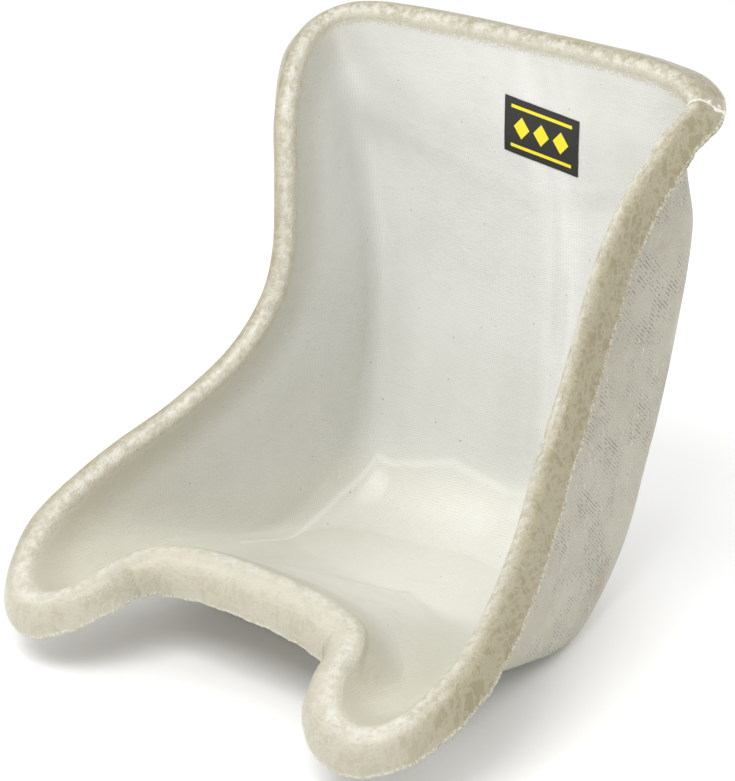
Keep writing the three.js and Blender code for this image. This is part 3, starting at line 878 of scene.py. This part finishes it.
class KARTSEAT_OT_inner_cloth(bpy.types.Operator):
    """Add the woven cloth inside the seat"""

    bl_idname = "kartseat.inner_cloth"
    bl_label = "Inner cloth"
    bl_options = {"REGISTER", "UNDO"}

    def execute(self, context):
        s = context.scene.kart_seat
        skin("inner_cloth_skin", INNER_PLY, s.columns, s.rows, s.wave_height / MM, inside_material(s),
             ["inner_cloth"])
        return {"FINISHED"}


class KARTSEAT_OT_core(bpy.types.Operator):
    """Add the chopped mat between the cloths"""

    bl_idname = "kartseat.core"
    bl_label = "Chopped mat"
    bl_options = {"REGISTER", "UNDO"}

    def execute(self, context):
        s = context.scene.kart_seat
        skin("mat_skin", MAT_PLY, s.columns // 2, s.rows, s.wave_height / MM, core_material(s),
             [f"{panel}_mat" for panel in PANELS])
        return {"FINISHED"}


class KARTSEAT_OT_outer_cloth(bpy.types.Operator):
    """Add the woven cloth outside the seat"""

    bl_idname = "kartseat.outer_cloth"
    bl_label = "Outer cloth"
    bl_options = {"REGISTER", "UNDO"}

    def execute(self, context):
        s = context.scene.kart_seat
        skin("outer_cloth_skin", OUTER_PLY, s.columns, s.rows, s.wave_height / MM, outside_material(s),
             [f"{panel}_outer_cloth" for panel in PANELS])
        return {"FINISHED"}


class KARTSEAT_OT_rim(bpy.types.Operator):
    """Add the six bands of the rolled rim"""

    bl_idname = "kartseat.rim"
    bl_label = "Rolled rim"
    bl_options = {"REGISTER", "UNDO"}

    def execute(self, context):
        s = context.scene.kart_seat
        material = rim_material(s)
        for name, first, last in (
            ("top_rim", -TOP_CORNER, TOP_CORNER),
            ("left_rim", TOP_CORNER, THIGH_FRONT),
            ("left_horn_rim", THIGH_FRONT, CUTOUT_CORNER),
            ("lip_rim", CUTOUT_CORNER, PLACES - CUTOUT_CORNER),
            ("right_horn_rim", PLACES - CUTOUT_CORNER, PLACES - THIGH_FRONT),
            ("right_rim", PLACES - THIGH_FRONT, PLACES - TOP_CORNER),
        ):
            rim_band(name, first, last, 2 * s.columns, s.edge_wander / MM, s.wave_height / MM, material)
        return {"FINISHED"}


class KARTSEAT_OT_label(bpy.types.Operator):
    """Add the label on the back"""

    bl_idname = "kartseat.label"
    bl_label = "Label"
    bl_options = {"REGISTER", "UNDO"}

    def execute(self, context):
        s = context.scene.kart_seat
        width, tall = s.label_width / MM, s.label_height / MM
        label_film(width, tall, s.label_tilt, s.wave_height / MM, label_material(s))
        return {"FINISHED"}


class KARTSEAT_OT_studio(bpy.types.Operator):
    """Set up the pale floor, the soft lights and the camera"""

    bl_idname = "kartseat.studio"
    bl_label = "Studio"
    bl_options = {"REGISTER", "UNDO"}

    def execute(self, context):
        s = context.scene.kart_studio
        studio_floor(s.floor_colour)
        studio_world(s.sky)
        for name, place, size in LIGHTS:
            studio_light(name, getattr(s, f"{name}_power"), place, size)
        studio_camera(s.lens)
        context.scene.view_settings.view_transform = "Standard"
        return {"FINISHED"}


class KARTSEAT_PT_panel(bpy.types.Panel):
    """Lists the seat's operators and settings in the 3D view's sidebar."""

    bl_idname = "KARTSEAT_PT_panel"
    bl_label = "Kart seat"
    bl_space_type = "VIEW_3D"
    bl_region_type = "UI"
    bl_category = "Kart seat"

    def draw(self, context):
        for operator in OPERATORS:
            self.layout.operator(operator.bl_idname)
        for settings in (context.scene.kart_seat, context.scene.kart_studio):
            for name in settings.__annotations__:
                self.layout.prop(settings, name)


OPERATORS = (
    KARTSEAT_OT_inner_cloth,
    KARTSEAT_OT_core,
    KARTSEAT_OT_outer_cloth,
    KARTSEAT_OT_rim,
    KARTSEAT_OT_label,
    KARTSEAT_OT_studio,
)
CLASSES = (SeatSettings, StudioSettings, *OPERATORS, KARTSEAT_PT_panel)


def register():
    for cls in CLASSES:
        bpy.utils.register_class(cls)
    bpy.types.Scene.kart_seat = PointerProperty(type=SeatSettings)
    bpy.types.Scene.kart_studio = PointerProperty(type=StudioSettings)


def unregister():
    del bpy.types.Scene.kart_seat, bpy.types.Scene.kart_studio
    for cls in reversed(CLASSES):
        bpy.utils.unregister_class(cls)


def main():
    register()
    bpy.ops.kartseat.inner_cloth()
    bpy.ops.kartseat.core()
    bpy.ops.kartseat.outer_cloth()
    bpy.ops.kartseat.rim()
    bpy.ops.kartseat.label()
    bpy.ops.kartseat.studio()


if __name__ == "__main__":
    main()
